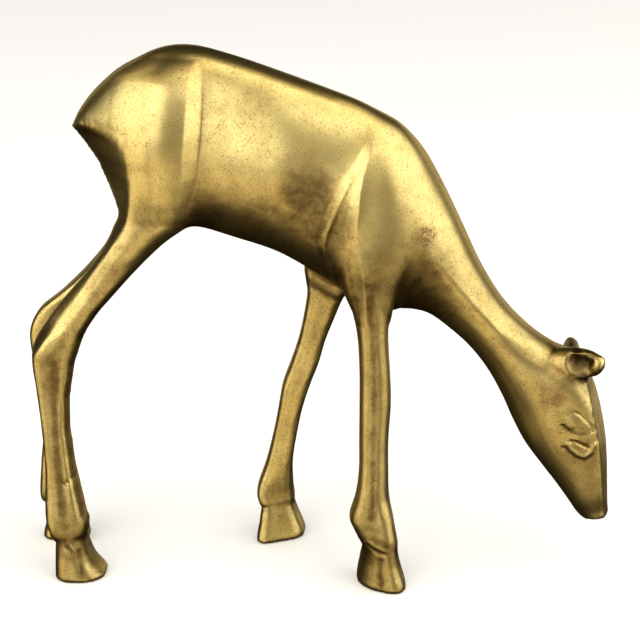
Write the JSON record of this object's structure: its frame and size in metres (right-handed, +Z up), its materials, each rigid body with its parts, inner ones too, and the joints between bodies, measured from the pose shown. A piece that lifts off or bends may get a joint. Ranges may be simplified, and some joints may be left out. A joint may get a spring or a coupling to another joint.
{
  "type": "deer figurine",
  "caption": "Grazing doe figurine, cast in brass in one piece, standing on four slender legs with its head lowered and its ears spread.",
  "frame": {"origin": "on the floor under the middle of the figure's bounding box", "axes": "+X from the tail to the nose, +Y to the deer's left side, +Z up"},
  "size_m": [0.156, 0.0414, 0.1417],
  "materials": {
    "brass": "satin cast brass, lightly polished on the body, with brown patina in the recesses, fine pits and file marks on the inner sides of the legs"
  },
  "bodies": {
    "root": {"deer": "brass"}
  },
  "joints": []
}
